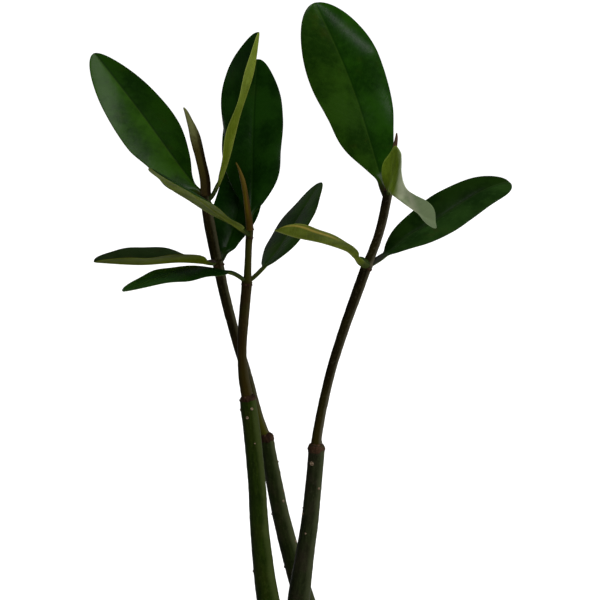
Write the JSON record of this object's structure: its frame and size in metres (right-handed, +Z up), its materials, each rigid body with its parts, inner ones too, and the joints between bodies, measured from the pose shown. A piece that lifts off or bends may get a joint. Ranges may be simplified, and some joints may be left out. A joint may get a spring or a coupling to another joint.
{
  "type": "potted mangrove seedling",
  "caption": "Young mangrove seedlings growing upright from soil in a plain clay pot: long green hypocotyls, thin brown stems and opposite pairs of oval, leathery leaves.",
  "frame": {"origin": "middle of the pot's flat underside, on the surface that it stands on", "axes": "+Z up along the pot's axis, -Y towards the viewer of the picture, +X to the viewer's right"},
  "size_m": [0.2169, 0.1368, 0.4424],
  "materials": {
    "clay": "matte",
    "earth": "matte",
    "green_bark": "satin",
    "brown_bark": "satin",
    "bud_sheath": "satin",
    "leaf_green": "satin"
  },
  "bodies": {
    "root": {"pot": "clay", "soil": "earth", "left_hypocotyl": "green_bark", "left_stem": "brown_bark", "left_bud": "bud_sheath", "left_leaf_lower_left": "leaf_green", "left_leaf_lower_right": "leaf_green", "left_leaf_upper_left": "leaf_green", "left_leaf_upper_right": "leaf_green", "middle_hypocotyl": "green_bark", "middle_stem": "brown_bark", "middle_bud": "bud_sheath", "middle_leaf_lower_left": "leaf_green", "middle_leaf_lower_right": "leaf_green", "middle_leaf_upper_left": "leaf_green", "middle_leaf_upper_right": "leaf_green", "right_hypocotyl": "green_bark", "right_stem": "brown_bark", "right_bud": "bud_sheath", "right_leaf_lower_left": "leaf_green", "right_leaf_lower_right": "leaf_green", "right_leaf_upper_left": "leaf_green", "right_leaf_upper_right": "leaf_green"}
  },
  "joints": []
}
